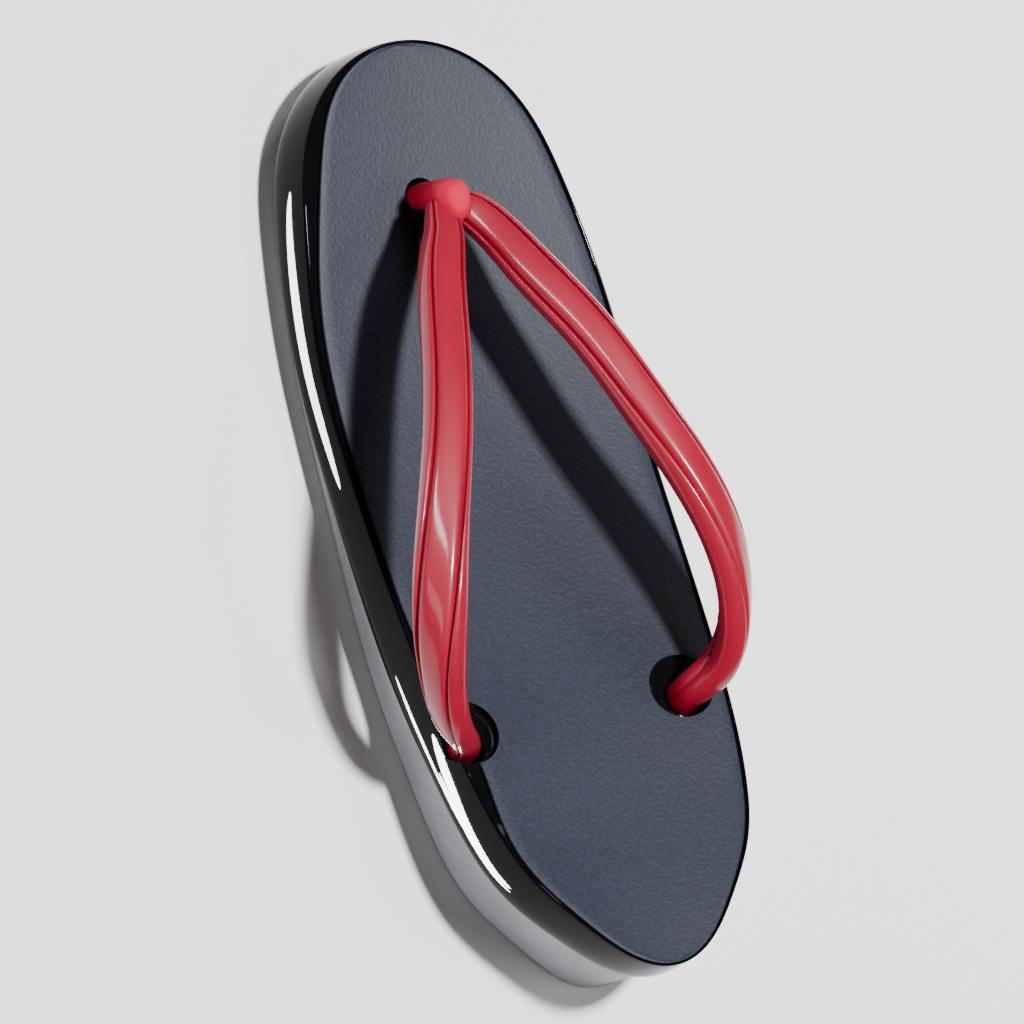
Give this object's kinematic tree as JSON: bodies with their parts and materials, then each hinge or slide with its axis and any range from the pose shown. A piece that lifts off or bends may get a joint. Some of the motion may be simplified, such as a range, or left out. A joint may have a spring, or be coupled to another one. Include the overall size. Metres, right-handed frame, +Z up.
{
  "type": "zori sandal",
  "caption": "Open sandal for the right foot: wedge rubber outsole, glossy platform, inlaid footbed and padded V-shaped toe straps.",
  "frame": {"origin": "on the floor, under the middle of the sandal's bounding box", "axes": "+Y to the toe, +Z up, +X to the outer side of the foot"},
  "size_m": [0.0912, 0.236, 0.0592],
  "materials": {
    "moulded rubber": "satin",
    "glossy black coat": "high gloss",
    "matte footbed sheet": "matte",
    "red patent cover": "patent gloss",
    "red cloth": "matte"
  },
  "bodies": {
    "root": {"outsole": "moulded rubber", "platform": "glossy black coat", "insole": "matte footbed sheet", "hanao": "red patent cover", "toe_post": "red cloth"}
  },
  "joints": []
}
